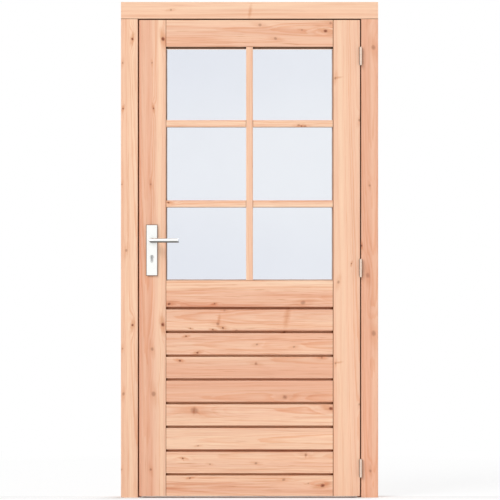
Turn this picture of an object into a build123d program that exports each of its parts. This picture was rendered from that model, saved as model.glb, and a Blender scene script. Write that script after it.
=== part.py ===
"""Half-glazed wooden door in its frame.

Millimetres, +Z up. The face in the photograph looks towards -Y, and the hinges are at +X.
The origin is on the wall face of the hinge jamb, at floor level and in the middle of its depth.
"""
from build123d import *
import os

# Frame: two jambs under a head, with planted stops
FRAME_WIDTH = 1095
FRAME_HEIGHT = 2110
FRAME_DEPTH = 70
FRAME_FACE = 72
STOP_WIDTH = 15
FRAME_TENON_LENGTH = 30
FRAME_TENON_THICKNESS = 22

# Leaf and the gaps round it
LEAF_THICKNESS = 40
EDGE_GAP = 5
FLOOR_GAP = 6
STOP_GAP = 5
LOCK_EDGE_BEVEL = 1.5

# Stiles and rails
STILE_WIDTH = 115
TOP_RAIL_HEIGHT = 122.5
MIDDLE_RAIL_HEIGHT = 113.5
BOTTOM_RAIL_HEIGHT = 87.5
TENON_LENGTH = 45
TENON_THICKNESS = 14
TENON_SHOULDER = 18

# Horizontal boards of the lower panel, tongued at the top and grooved at the bottom
BOARD_COUNT = 7
BOARD_HEIGHT = 91
SHADOW_GAP = 10
BOARD_THICKNESS = 32
BOARD_TONGUE_THICKNESS = 10
BOARD_TONGUE_SETBACK = 14
BOARD_TONGUE_ENTRY = 8
BOARD_HOUSING_DEPTH = 12

# Glazing, under a shadow groove in the top rail's lower edge
PANE_COLUMNS = 2
PANE_ROWS = 3
BAR_WIDTH = 29
BAR_ROUNDING = 2.5
REBATE_WIDTH = 10
RAIL_GROOVE_HEIGHT = 8.5
RAIL_GROOVE_DEPTH = 9
GLASS_SETBACK = 14
GLASS_THICKNESS = 6
PANE_EDGE_CLEARANCE = 1
BEAD_EASE = 3

# Butt hinges
LOWER_HINGE_FROM_LEAF_BOTTOM = 119
MIDDLE_HINGE_FROM_LEAF_BOTTOM = 971
UPPER_HINGE_FROM_LEAF_TOP = 154
HINGE_HEIGHT = 76
HINGE_KNUCKLES = 5
KNUCKLE_DIAMETER = 13
KNUCKLE_GAP = 0.3
KNUCKLE_STANDOFF = 0.5
HINGE_PIN_DIAMETER = 5
HINGE_PIN_TIP = 1
HINGE_PLATE_DEPTH = 30
HINGE_PLATE_THICKNESS = 2.4

# Lock, backplates and levers
BACKSET = 55
SPINDLE_ABOVE_MIDDLE_RAIL = 170
KEY_SPACING = 70
BACKPLATE_WIDTH = 47
BACKPLATE_HEIGHT = 216
BACKPLATE_ABOVE_SPINDLE = 67
BACKPLATE_THICKNESS = 8
BACKPLATE_CORNER = 3
BACKPLATE_EASE = 1.5
SPINDLE_SIZE = 8
LEVER_DIAMETER = 18.5
LEVER_REACH = 112
LEVER_STANDOFF = 56
LEVER_END_EASE = 1.5
CYLINDER_DIAMETER = 17
CYLINDER_TAIL_WIDTH = 10
CYLINDER_HEIGHT = 33
CYLINDER_PROJECTION = 2
KEYWAY_WIDTH = 2
KEYWAY_HEIGHT = 9
KEYWAY_DEPTH = 8
CASE_DEPTH = 87
CASE_THICKNESS = 16
CASE_HEIGHT = 165
CASE_TOP_ABOVE_SPINDLE = 48
FOREND_WIDTH = 20
FOREND_THICKNESS = 3
FOREND_HEIGHT = 235
LATCH_ABOVE_SPINDLE = 16
LATCH_HEIGHT = 30
LATCH_THICKNESS = 11
BOLT_BELOW_SPINDLE = 38
BOLT_HEIGHT = 32
BOLT_THICKNESS = 8
BOLT_LENGTH = 30
STRIKE_WIDTH = 24
STRIKE_THICKNESS = 2
STRIKE_HEIGHT = 180
STRIKE_HOLE_MARGIN = 3
STRIKE_POCKET_DEPTH = 18

# Small clearances and eased edges
SEAT = 0.3
RUNNING_FIT = 0.05
SPINDLE_HOLE_CLEARANCE = 3
EASE = 1.5

# Places worked out from the sizes above
FRONT = -FRAME_DEPTH / 2
BACK = FRAME_DEPTH / 2
LEAF_BACK = FRONT + LEAF_THICKNESS
LEAF_MIDDLE = (FRONT + LEAF_BACK) / 2
STOP_FRONT = LEAF_BACK + STOP_GAP
HEAD_BOTTOM = FRAME_HEIGHT - FRAME_FACE
HINGE_JAMB_FACE = -FRAME_FACE
LOCK_JAMB_FACE = FRAME_FACE - FRAME_WIDTH
HINGE_EDGE = HINGE_JAMB_FACE - EDGE_GAP
LOCK_EDGE = LOCK_JAMB_FACE + EDGE_GAP
LEAF_BOTTOM = FLOOR_GAP
LEAF_TOP = HEAD_BOTTOM - EDGE_GAP
INFILL_RIGHT = HINGE_EDGE - STILE_WIDTH
INFILL_LEFT = LOCK_EDGE + STILE_WIDTH
PANEL_BOTTOM = LEAF_BOTTOM + BOTTOM_RAIL_HEIGHT
GLAZING_TOP = LEAF_TOP - TOP_RAIL_HEIGHT
BOARD_PITCH = BOARD_HEIGHT + SHADOW_GAP
PANEL_TOP = PANEL_BOTTOM + BOARD_COUNT * BOARD_PITCH + SHADOW_GAP
GLAZING_BOTTOM = PANEL_TOP + MIDDLE_RAIL_HEIGHT
TONGUE_HEIGHT = SHADOW_GAP + BOARD_TONGUE_ENTRY - SEAT
TONGUE_FRONT = FRONT + BOARD_TONGUE_SETBACK
TONGUE_BACK = TONGUE_FRONT + BOARD_TONGUE_THICKNESS
GLASS_FRONT = FRONT + GLASS_SETBACK
GLASS_BACK = GLASS_FRONT + GLASS_THICKNESS
PANE_WIDTH = (INFILL_RIGHT - INFILL_LEFT - (PANE_COLUMNS - 1) * BAR_WIDTH) / PANE_COLUMNS
RAIL_FACE_BOTTOM = GLAZING_TOP + RAIL_GROOVE_HEIGHT
ROW_HEIGHT = (RAIL_FACE_BOTTOM - GLAZING_BOTTOM - (PANE_ROWS - 1) * BAR_WIDTH) / PANE_ROWS
HINGE_AXIS_X = (HINGE_JAMB_FACE + HINGE_EDGE) / 2
HINGE_AXIS_Y = FRONT - KNUCKLE_DIAMETER / 2 - KNUCKLE_STANDOFF
HINGE_CENTRES = {
    "lower": LEAF_BOTTOM + LOWER_HINGE_FROM_LEAF_BOTTOM,
    "middle": LEAF_BOTTOM + MIDDLE_HINGE_FROM_LEAF_BOTTOM,
    "upper": LEAF_TOP - UPPER_HINGE_FROM_LEAF_TOP,
}
SPINDLE_X = LOCK_EDGE + BACKSET
SPINDLE_HEIGHT = GLAZING_BOTTOM + SPINDLE_ABOVE_MIDDLE_RAIL
CYLINDER_Z = SPINDLE_HEIGHT - KEY_SPACING
LATCH_Z = SPINDLE_HEIGHT + LATCH_ABOVE_SPINDLE
BOLT_Z = SPINDLE_HEIGHT - BOLT_BELOW_SPINDLE
CASE_TOP = SPINDLE_HEIGHT + CASE_TOP_ABOVE_SPINDLE
CASE_MIDDLE = CASE_TOP - CASE_HEIGHT / 2
CASE_BACK_X = LOCK_EDGE + CASE_DEPTH


def block(x, y, z):
    """A box between two corners, each axis given as a (low, high) pair."""
    size = [high - low for low, high in (x, y, z)]
    middle = [(high + low) / 2 for low, high in (x, y, z)]
    return Pos(*middle) * Box(*size)


def around(middle, size):
    """The low and high ends of a size centred on a middle."""
    return (middle - size / 2, middle + size / 2)


def eased(solid, axis):
    """The timber with its long arrises taken off."""
    return chamfer(solid.edges().filter_by(axis), EASE)


def leaf_envelope():
    """The leaf's outside form, with the lock edge bevelled so that it clears the jamb as it swings."""
    outline = [
        (LOCK_EDGE, FRONT),
        (HINGE_EDGE, FRONT),
        (HINGE_EDGE, LEAF_BACK),
        (LOCK_EDGE + LOCK_EDGE_BEVEL, LEAF_BACK),
    ]
    plan = make_face(Polyline(*outline, close=True))
    return Pos(0, 0, LEAF_BOTTOM) * extrude(plan, LEAF_TOP - LEAF_BOTTOM)


# Frame

def jamb(x):
    """A jamb with a stub tenon that stands in the head."""
    post = eased(block(x, (FRONT, BACK), (0, HEAD_BOTTOM)), Axis.Z)
    tenon_y = around(0, FRAME_TENON_THICKNESS)
    tenon_x = (x[0] + EASE, x[1] - EASE)
    return post + block(tenon_x, tenon_y, (HEAD_BOTTOM, HEAD_BOTTOM + FRAME_TENON_LENGTH))


def hinge_jamb():
    post = jamb((HINGE_JAMB_FACE, 0))
    for centre in HINGE_CENTRES.values():
        post -= hinge_plate_recess(centre, 1)
    return post


def lock_jamb():
    post = jamb((-FRAME_WIDTH, LOCK_JAMB_FACE))
    post -= strike_outline(SEAT)
    for middle, height, thickness in strike_holes():
        pocket_x = (LOCK_JAMB_FACE - STRIKE_POCKET_DEPTH, LOCK_JAMB_FACE)
        post -= block(pocket_x, around(LEAF_MIDDLE, thickness), around(middle, height))
    return post


def frame_head():
    """The head lies over both jambs and is mortised for their tenons."""
    head = eased(block((-FRAME_WIDTH, 0), (FRONT, BACK), (HEAD_BOTTOM, FRAME_HEIGHT)), Axis.X)
    mortise_y = around(0, FRAME_TENON_THICKNESS)
    mortise_z = (HEAD_BOTTOM, HEAD_BOTTOM + FRAME_TENON_LENGTH + SEAT)
    for x in ((-FRAME_WIDTH, LOCK_JAMB_FACE), (HINGE_JAMB_FACE, 0)):
        head -= block((x[0] + EASE, x[1] - EASE), mortise_y, mortise_z)
    return head


def side_stop(x):
    strip = block(x, (STOP_FRONT, BACK), (0, HEAD_BOTTOM - STOP_WIDTH))
    return eased(strip, Axis.Z)


def head_stop():
    strip_z = (HEAD_BOTTOM - STOP_WIDTH, HEAD_BOTTOM)
    return eased(block((LOCK_JAMB_FACE, HINGE_JAMB_FACE), (STOP_FRONT, BACK), strip_z), Axis.X)


# Stiles and rails

def stile_tenons(z):
    """Tenons at both ends of a rail, between its shoulders."""
    tenon_y = around(LEAF_MIDDLE, TENON_THICKNESS)
    tenon_z = (z[0] + TENON_SHOULDER, z[1] - TENON_SHOULDER)
    left = block((INFILL_LEFT - TENON_LENGTH, INFILL_LEFT), tenon_y, tenon_z)
    right = block((INFILL_RIGHT, INFILL_RIGHT + TENON_LENGTH), tenon_y, tenon_z)
    return left, right


def rail_heights():
    return {
        "top": (GLAZING_TOP, LEAF_TOP),
        "middle": (PANEL_TOP, GLAZING_BOTTOM),
        "bottom": (LEAF_BOTTOM, PANEL_BOTTOM),
    }


def plain_stile(x):
    """A stile mortised for the rails, grooved for the boards and rebated for the glass."""
    stile = eased(block(x, (FRONT, LEAF_BACK), (LEAF_BOTTOM, LEAF_TOP)), Axis.Z)
    for heights in rail_heights().values():
        for tenon in stile_tenons(heights):
            stile -= tenon
    groove_x = (INFILL_LEFT - BOARD_HOUSING_DEPTH - SEAT, INFILL_RIGHT + BOARD_HOUSING_DEPTH + SEAT)
    stile -= block(groove_x, (TONGUE_FRONT, TONGUE_BACK), (PANEL_BOTTOM, PANEL_TOP + BOARD_TONGUE_ENTRY))
    rebate_x = (INFILL_LEFT - REBATE_WIDTH, INFILL_RIGHT + REBATE_WIDTH)
    rebate_z = (GLAZING_BOTTOM - REBATE_WIDTH, GLAZING_TOP + REBATE_WIDTH)
    return stile - block(rebate_x, (GLASS_FRONT, LEAF_BACK), rebate_z)


def hinge_stile():
    stile = plain_stile((INFILL_RIGHT, HINGE_EDGE))
    for centre in HINGE_CENTRES.values():
        stile -= hinge_plate_recess(centre, -1)
    return stile


def lock_stile():
    stile = plain_stile((LOCK_EDGE, INFILL_LEFT)) & leaf_envelope()
    stile -= block((LOCK_EDGE, CASE_BACK_X + SEAT), around(LEAF_MIDDLE, CASE_THICKNESS),
                   around(CASE_MIDDLE, CASE_HEIGHT))
    stile -= forend_outline(0)
    stile -= spindle_bore(SPINDLE_SIZE / 2 + 2 * SPINDLE_HOLE_CLEARANCE, (FRONT, LEAF_BACK))
    return stile - cylinder_profile(SEAT, (FRONT, LEAF_BACK))


def rail(z):
    return eased(block((INFILL_LEFT, INFILL_RIGHT), (FRONT, LEAF_BACK), z), Axis.X)


def rail_rebate(z):
    """The step along a rail that takes the glass and its beads."""
    return block((INFILL_LEFT, INFILL_RIGHT), (GLASS_FRONT, LEAF_BACK), z)


def top_rail():
    """The rail over the glass, with a shadow groove along its lower front edge."""
    z = rail_heights()["top"]
    left, right = stile_tenons(z)
    face_z = (RAIL_FACE_BOTTOM, z[1])
    lip = block((INFILL_LEFT, INFILL_RIGHT), (FRONT + RAIL_GROOVE_DEPTH, LEAF_BACK), (z[0], face_z[0]))
    return rail(face_z) + lip - rail_rebate((z[0], z[0] + REBATE_WIDTH)) + left + right


def middle_rail():
    z = rail_heights()["middle"]
    left, right = stile_tenons(z)
    groove_z = (z[0], z[0] + BOARD_TONGUE_ENTRY)
    groove = block((INFILL_LEFT, INFILL_RIGHT), (TONGUE_FRONT, TONGUE_BACK), groove_z)
    return rail(z) - rail_rebate((z[1] - REBATE_WIDTH, z[1])) - groove + left + right


def bottom_rail():
    z = rail_heights()["bottom"]
    left, right = stile_tenons(z)
    tongue = board_tongue(z[1], 0)
    return rail(z) + tongue + left + right


# Panel boards

def board_tongue(z, housing):
    """The tongue that backs a shadow gap and enters the groove of the piece above."""
    tongue_x = (INFILL_LEFT - housing, INFILL_RIGHT + housing)
    return block(tongue_x, (TONGUE_FRONT, TONGUE_BACK), (z, z + TONGUE_HEIGHT))


def panel_board(number):
    """One board, counted from the top, with its ends housed in the stiles."""
    bottom = PANEL_TOP - SHADOW_GAP - BOARD_HEIGHT - (number - 1) * BOARD_PITCH
    top = bottom + BOARD_HEIGHT
    face = block((INFILL_LEFT, INFILL_RIGHT), (FRONT, FRONT + BOARD_THICKNESS), (bottom, top))
    board = eased(face, Axis.X)
    groove_z = (bottom, bottom + BOARD_TONGUE_ENTRY)
    board -= block((INFILL_LEFT, INFILL_RIGHT), (TONGUE_FRONT, TONGUE_BACK), groove_z)
    core_x = (INFILL_LEFT - BOARD_HOUSING_DEPTH, INFILL_RIGHT + BOARD_HOUSING_DEPTH)
    core = block(core_x, (TONGUE_FRONT, TONGUE_BACK), (groove_z[1], top))
    return board + core + board_tongue(top, BOARD_HOUSING_DEPTH)


# Glazing

def pane_opening(column, row):
    """The x and z of the middle of a pane's opening, and its height.

    Columns count from the lock side and rows from the top. The rows are spaced from the top rail's face, so
    the rail's lip makes the openings of the top row a little lower.
    """
    x = INFILL_LEFT + PANE_WIDTH / 2 + column * (PANE_WIDTH + BAR_WIDTH)
    row_top = RAIL_FACE_BOTTOM - row * (ROW_HEIGHT + BAR_WIDTH)
    bottom = row_top - ROW_HEIGHT
    top = min(row_top, GLAZING_TOP)
    return x, (bottom + top) / 2, top - bottom


def rounded_bar(face, axis):
    """A bar's face with its two front arrises rounded."""
    front_edges = face.edges().filter_by(axis).sort_by(Axis.Y)[:2]
    return fillet(front_edges, BAR_ROUNDING)


def vertical_glazing_bar():
    """The upright bar runs through, from the middle rail to the face of the top rail."""
    middle = (INFILL_LEFT + INFILL_RIGHT) / 2
    face_x = around(middle, BAR_WIDTH)
    face = rounded_bar(block(face_x, (FRONT, GLASS_FRONT), (GLAZING_BOTTOM, RAIL_FACE_BOTTOM)), Axis.Z)
    face -= block(face_x, (FRONT + RAIL_GROOVE_DEPTH, GLASS_FRONT), (GLAZING_TOP, RAIL_FACE_BOTTOM))
    web_z = (GLAZING_BOTTOM - REBATE_WIDTH, GLAZING_TOP + REBATE_WIDTH)
    return face + block(around(middle, BAR_WIDTH - 2 * REBATE_WIDTH), (GLASS_FRONT, LEAF_BACK), web_z)


def horizontal_glazing_bar(column, row):
    """A short bar between a stile and the upright one, under the given row of panes."""
    x = pane_opening(column, row)[0]
    z = RAIL_FACE_BOTTOM - (row + 1) * (ROW_HEIGHT + BAR_WIDTH) + BAR_WIDTH / 2
    face = rounded_bar(block(around(x, PANE_WIDTH), (FRONT, GLASS_FRONT), around(z, BAR_WIDTH)), Axis.X)
    web_x = around(x, PANE_WIDTH + 2 * REBATE_WIDTH)
    return face + block(web_x, (GLASS_FRONT, LEAF_BACK), around(z, BAR_WIDTH - 2 * REBATE_WIDTH))


def pane(column, row):
    x, z, height = pane_opening(column, row)
    overlap = 2 * (REBATE_WIDTH - PANE_EDGE_CLEARANCE)
    return block(around(x, PANE_WIDTH + overlap), (GLASS_FRONT, GLASS_BACK), around(z, height + overlap))


def bead(length):
    """A mitred bead lying along X, its sight edge at z = 0 and its body below it."""
    outer = length / 2 + REBATE_WIDTH
    plan = make_face(Polyline((-outer, -REBATE_WIDTH), (outer, -REBATE_WIDTH), (length / 2, 0),
                              (-length / 2, 0), close=True))
    strip = Plane.XZ.offset(-LEAF_BACK) * extrude(plan, LEAF_BACK - GLASS_BACK)
    sight_edge = strip.edges().filter_by(Axis.X).group_by(Axis.Z)[-1].sort_by(Axis.Y)[-1]
    return chamfer(sight_edge, BEAD_EASE)


def glazing_beads():
    """Four beads behind each pane, a hair apart at the mitres."""
    beads = []
    for column in range(PANE_COLUMNS):
        for row in range(PANE_ROWS):
            x, z, height = pane_opening(column, row)
            for quarter in range(4):
                along, across = (PANE_WIDTH, height) if quarter % 2 == 0 else (height, PANE_WIDTH)
                strip = Pos(0, 0, -across / 2) * bead(along - 2 * SEAT)
                beads.append(Pos(x, 0, z) * Rot(0, 90 * quarter, 0) * strip)
    return Compound(beads)


# Hinges

def knuckle_spans(centre, side):
    """The heights of the knuckles on one plate: the frame's side is 1, the leaf's is -1."""
    pitch = HINGE_HEIGHT / HINGE_KNUCKLES
    bottom = centre - HINGE_HEIGHT / 2
    first = 0 if side > 0 else 1
    spans = []
    for number in range(first, HINGE_KNUCKLES, 2):
        low = bottom + number * pitch
        spans.append((low + KNUCKLE_GAP / 2, low + pitch - KNUCKLE_GAP / 2))
    return spans


def hinge_plate_x(side):
    """The plate is let in flush with the edge that it is screwed to."""
    inner = HINGE_AXIS_X + side * EDGE_GAP / 2
    return tuple(sorted((inner, inner + side * HINGE_PLATE_THICKNESS)))


def hinge_plate_recess(centre, side):
    return block(hinge_plate_x(side), (FRONT, FRONT + HINGE_PLATE_DEPTH), around(centre, HINGE_HEIGHT))


def hinge_plate(centre, side):
    """A hinge plate with the knuckles that it carries."""
    plate = hinge_plate_recess(centre, side)
    bore = Pos(HINGE_AXIS_X, HINGE_AXIS_Y, centre) * Cylinder(
        HINGE_PIN_DIAMETER / 2 + RUNNING_FIT, HINGE_HEIGHT)
    for low, high in knuckle_spans(centre, side):
        plate += block(hinge_plate_x(side), (HINGE_AXIS_Y, FRONT), (low, high))
        knuckle = Cylinder(KNUCKLE_DIAMETER / 2, high - low)
        plate += Pos(HINGE_AXIS_X, HINGE_AXIS_Y, (low + high) / 2) * knuckle
    return plate - bore


def hinge_pins():
    """One pin a hinge, with a shallow head at each end of the knuckles."""
    pins = []
    for centre in HINGE_CENTRES.values():
        pin = Cylinder(HINGE_PIN_DIAMETER / 2, HINGE_HEIGHT)
        for end in (-1, 1):
            tip = Cylinder(KNUCKLE_DIAMETER / 2 - EASE, HINGE_PIN_TIP)
            pin += Pos(0, 0, end * (HINGE_HEIGHT + HINGE_PIN_TIP) / 2) * tip
        pins.append(Pos(HINGE_AXIS_X, HINGE_AXIS_Y, centre) * pin)
    return Compound(pins)


# Lock and levers

def spindle_bore(radius, y):
    return Pos(SPINDLE_X, sum(y) / 2, SPINDLE_HEIGHT) * Rot(90, 0, 0) * Cylinder(radius, y[1] - y[0])


def cylinder_profile(clearance, y):
    """The lock cylinder's section, a round with a narrower tail below it, between two depths."""
    radius = CYLINDER_DIAMETER / 2 + clearance
    length = y[1] - y[0]
    round_part = Pos(SPINDLE_X, sum(y) / 2, CYLINDER_Z) * Rot(90, 0, 0) * Cylinder(radius, length)
    tail_width = CYLINDER_TAIL_WIDTH + 2 * clearance
    tail_end = CYLINDER_Z + CYLINDER_DIAMETER / 2 - CYLINDER_HEIGHT + CYLINDER_TAIL_WIDTH / 2
    tail = block(around(SPINDLE_X, tail_width), y, (tail_end, CYLINDER_Z))
    tip = Pos(SPINDLE_X, sum(y) / 2, tail_end) * Rot(90, 0, 0) * Cylinder(tail_width / 2, length)
    return round_part + tail + tip


def forend_outline(recess):
    """The lock's face plate, let in flush with the bevelled edge."""
    x = (LOCK_EDGE - 1, LOCK_EDGE + LOCK_EDGE_BEVEL + FOREND_THICKNESS)
    y = around(LEAF_MIDDLE, FOREND_WIDTH + 2 * recess)
    return block(x, y, around(CASE_MIDDLE, FOREND_HEIGHT + 2 * recess))


def bolt_outlines(clearance):
    """The latch and the dead bolt, drawn back until they are flush with the lock's edge."""
    x = (LOCK_EDGE - 1, LOCK_EDGE + BOLT_LENGTH + clearance)
    latch = block(x, around(LEAF_MIDDLE, LATCH_THICKNESS + 2 * clearance),
                  around(LATCH_Z, LATCH_HEIGHT + 2 * clearance))
    bolt = block(x, around(LEAF_MIDDLE, BOLT_THICKNESS + 2 * clearance),
                 around(BOLT_Z, BOLT_HEIGHT + 2 * clearance))
    return latch, bolt


def lock_forend():
    latch, bolt = bolt_outlines(SEAT)
    return (forend_outline(0) & leaf_envelope()) - latch - bolt


def lock_case():
    """The lock's case, open where the spindle, the cylinder and the bolts pass through."""
    front_x = LOCK_EDGE + LOCK_EDGE_BEVEL + FOREND_THICKNESS
    y = around(LEAF_MIDDLE, CASE_THICKNESS)
    case = block((front_x, CASE_BACK_X), y, around(CASE_MIDDLE, CASE_HEIGHT))
    latch, bolt = bolt_outlines(SEAT)
    case = case - latch - bolt
    case -= spindle_bore(SPINDLE_SIZE / 2 + SPINDLE_HOLE_CLEARANCE, y)
    return case - cylinder_profile(SEAT, y)


def lock_bolts():
    latch, bolt = bolt_outlines(0)
    return Compound([latch & leaf_envelope(), bolt & leaf_envelope()])


def lock_cylinder():
    """The cylinder runs through the leaf, with a keyway in each end."""
    standing_out = BACKPLATE_THICKNESS + CYLINDER_PROJECTION
    y = (FRONT - standing_out, LEAF_BACK + standing_out)
    body = cylinder_profile(0, y)
    keyway_x = around(SPINDLE_X, KEYWAY_WIDTH)
    keyway_z = around(CYLINDER_Z - KEYWAY_WIDTH, KEYWAY_HEIGHT)
    body -= block(keyway_x, (y[0], y[0] + KEYWAY_DEPTH), keyway_z)
    return body - block(keyway_x, (y[1] - KEYWAY_DEPTH, y[1]), keyway_z)


def backplate():
    """The outside backplate, pierced for the lever's neck and the cylinder."""
    y = (FRONT - BACKPLATE_THICKNESS, FRONT)
    top = SPINDLE_HEIGHT + BACKPLATE_ABOVE_SPINDLE
    z = (top - BACKPLATE_HEIGHT, top)
    plate = block(around(SPINDLE_X, BACKPLATE_WIDTH), y, z)
    plate = fillet(plate.edges().filter_by(Axis.Y), BACKPLATE_CORNER)
    plate = chamfer(plate.faces().sort_by(Axis.Y)[0].edges(), BACKPLATE_EASE)
    plate -= spindle_bore(LEVER_DIAMETER / 2 + RUNNING_FIT, y)
    return plate - cylinder_profile(SEAT, y)


def lever():
    """The outside lever: a round neck out of the backplate, mitred to a straight round grip."""
    grip_y = FRONT - LEVER_STANDOFF
    neck_start = (SPINDLE_X, FRONT - SEAT, SPINDLE_HEIGHT)
    mitre = (SPINDLE_X, grip_y, SPINDLE_HEIGHT)
    grip_end = (SPINDLE_X + LEVER_REACH, grip_y, SPINDLE_HEIGHT)
    section = Plane(origin=neck_start, z_dir=(0, -1, 0)) * Circle(LEVER_DIAMETER / 2)
    bar = sweep(section, path=Polyline(neck_start, mitre, grip_end), transition=Transition.RIGHT)
    bar = chamfer(bar.faces().sort_by(Axis.X)[-1].edges(), LEVER_END_EASE)
    return bar - spindle()


def spindle():
    """The square bar that joins the two levers through the lock."""
    overlap = BACKPLATE_THICKNESS + LEVER_DIAMETER
    y = (FRONT - overlap, LEAF_BACK + overlap)
    return block(around(SPINDLE_X, SPINDLE_SIZE), y, around(SPINDLE_HEIGHT, SPINDLE_SIZE))


def other_side(solid):
    """The same piece on the leaf's other face."""
    return mirror(solid, Plane.XZ.offset(-LEAF_MIDDLE))


def strike_holes():
    """The height, length and width of the strike's holes for the latch and the dead bolt."""
    margin = 2 * STRIKE_HOLE_MARGIN
    return [
        (LATCH_Z, LATCH_HEIGHT + margin, LATCH_THICKNESS + margin),
        (BOLT_Z, BOLT_HEIGHT + margin, BOLT_THICKNESS + margin),
    ]


def strike_outline(clearance):
    x = (LOCK_JAMB_FACE - STRIKE_THICKNESS, LOCK_JAMB_FACE)
    y = around(LEAF_MIDDLE, STRIKE_WIDTH + 2 * clearance)
    return block(x, y, around((LATCH_Z + BOLT_Z) / 2, STRIKE_HEIGHT + 2 * clearance))


def strike_plate():
    plate = strike_outline(0)
    for middle, height, thickness in strike_holes():
        hole_x = (LOCK_JAMB_FACE - STRIKE_THICKNESS, LOCK_JAMB_FACE)
        plate -= block(hole_x, around(LEAF_MIDDLE, thickness), around(middle, height))
    return plate


def all_parts():
    """Every node by name."""
    parts = {
        "hinge_jamb": hinge_jamb(),
        "lock_jamb": lock_jamb(),
        "frame_head": frame_head(),
        "hinge_side_stop": side_stop((HINGE_JAMB_FACE - STOP_WIDTH, HINGE_JAMB_FACE)),
        "lock_side_stop": side_stop((LOCK_JAMB_FACE, LOCK_JAMB_FACE + STOP_WIDTH)),
        "head_stop": head_stop(),
        "strike_plate": strike_plate(),
        "hinge_pins": hinge_pins(),
        "lock_stile": lock_stile(),
        "hinge_stile": hinge_stile(),
        "top_rail": top_rail(),
        "middle_rail": middle_rail(),
        "bottom_rail": bottom_rail(),
        "vertical_glazing_bar": vertical_glazing_bar(),
        "glazing_beads": glazing_beads(),
        "lock_forend": lock_forend(),
        "lock_case": lock_case(),
        "lock_bolts": lock_bolts(),
        "lock_cylinder": lock_cylinder(),
        "outside_backplate": backplate(),
        "inside_backplate": other_side(backplate()),
        "outside_lever": lever(),
        "inside_lever": other_side(lever()),
        "lever_spindle": spindle(),
    }
    for name, centre in HINGE_CENTRES.items():
        parts[f"{name}_hinge_frame_plate"] = hinge_plate(centre, 1)
        parts[f"{name}_hinge_leaf_plate"] = hinge_plate(centre, -1)
    for number in range(1, BOARD_COUNT + 1):
        parts[f"panel_board_{number}"] = panel_board(number)
    for row, row_name in enumerate(("upper", "middle", "lower")):
        for column, column_name in enumerate(("lock_side", "hinge_side")):
            parts[f"{row_name}_{column_name}_pane"] = pane(column, row)
    for row, row_name in enumerate(("upper", "lower")):
        bars = [horizontal_glazing_bar(column, row) for column in range(PANE_COLUMNS)]
        parts[f"{row_name}_glazing_bars"] = Compound(bars)
    return parts


os.makedirs("parts", exist_ok=True)
for part_name, shape in all_parts().items():
    export_step(shape, f"parts/{part_name}.step")
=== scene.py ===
"""Dresses the packed half-glazed wooden door: timber, glass, metal, sealant, screws, floor, light and camera.

The file is laid out as an add-on and is run as a script. Lengths in the tables and in the materials are
millimetres, because the door was drawn in them. Meshes, settings and the stage are in metres, in the frame of
the packed model.
"""
import math
from collections import namedtuple
from functools import reduce

import bmesh
import bpy
from bpy.props import FloatProperty, FloatVectorProperty, PointerProperty
from mathutils import Matrix, Vector


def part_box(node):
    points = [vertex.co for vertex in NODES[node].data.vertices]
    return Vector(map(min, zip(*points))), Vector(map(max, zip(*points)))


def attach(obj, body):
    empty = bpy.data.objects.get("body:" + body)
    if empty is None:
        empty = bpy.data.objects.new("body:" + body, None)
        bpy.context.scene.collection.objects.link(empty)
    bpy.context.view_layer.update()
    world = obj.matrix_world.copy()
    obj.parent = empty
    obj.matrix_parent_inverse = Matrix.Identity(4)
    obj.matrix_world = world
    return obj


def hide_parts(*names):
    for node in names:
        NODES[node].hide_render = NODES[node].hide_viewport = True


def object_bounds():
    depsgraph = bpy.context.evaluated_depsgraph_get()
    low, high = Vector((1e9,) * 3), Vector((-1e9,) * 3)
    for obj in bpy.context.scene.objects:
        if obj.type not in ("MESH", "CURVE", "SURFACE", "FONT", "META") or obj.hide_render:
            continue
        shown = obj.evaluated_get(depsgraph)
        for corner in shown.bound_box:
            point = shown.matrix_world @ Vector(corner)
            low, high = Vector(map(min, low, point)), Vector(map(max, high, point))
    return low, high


bl_info = {
    "name": "Half-glazed wooden door",
    "version": (1, 0, 0),
    "blender": (4, 5, 0),
    "location": "View3D > Sidebar > Door",
    "description": "Gives the packed door its timber, glass and metal finishes, its sealant and its screws",
    "category": "Object",
}

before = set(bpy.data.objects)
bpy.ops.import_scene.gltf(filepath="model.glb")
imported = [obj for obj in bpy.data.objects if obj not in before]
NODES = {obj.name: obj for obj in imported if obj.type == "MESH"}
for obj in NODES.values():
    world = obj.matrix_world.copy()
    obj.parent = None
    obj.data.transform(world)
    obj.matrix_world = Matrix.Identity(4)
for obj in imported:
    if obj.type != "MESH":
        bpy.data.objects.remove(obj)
CAD_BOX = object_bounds()

MM = 0.001
X_AXIS, Y_AXIS, Z_AXIS = Vector((1, 0, 0)), Vector((0, 1, 0)), Vector((0, 0, 1))
WHITE = (1.0, 1.0, 1.0, 1.0)

# What the settings of one kind share.
LENGTH = {"subtype": "DISTANCE", "unit": "LENGTH"}
SHARE = {"subtype": "FACTOR", "min": 0.0, "max": 1.0}
COLOUR = {"subtype": "COLOR", "size": 4, "min": 0.0, "max": 1.0}


def millimetres(node):
    """The lowest and highest corner of a CAD node, in millimetres."""
    low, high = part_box(node)
    return low / MM, high / MM


def srgb(red, green, blue):
    """A screen colour, from 0 to 255, as the linear colour that a shader takes."""
    shares = (red / 255, green / 255, blue / 255)
    return tuple(s / 12.92 if s <= 0.04045 else ((s + 0.055) / 1.055) ** 2.4 for s in shares) + (1.0,)


# The inner sides of the two stiles, and the height of the shadow groove under the top rail's face.
PANEL_SIDES = (millimetres("lock_stile")[1].x, millimetres("hinge_stile")[0].x)
GROOVE_HEIGHT = 8.5


def maths(operation, reflected=False):
    """A method that adds one Math node, which works on the wire and on what is given with it."""

    def method(self, *others):
        terms = (*others, self) if reflected else (self, *others)
        return self.graph.node("ShaderNodeMath", {"operation": operation}, dict(enumerate(terms)))

    return method


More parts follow.
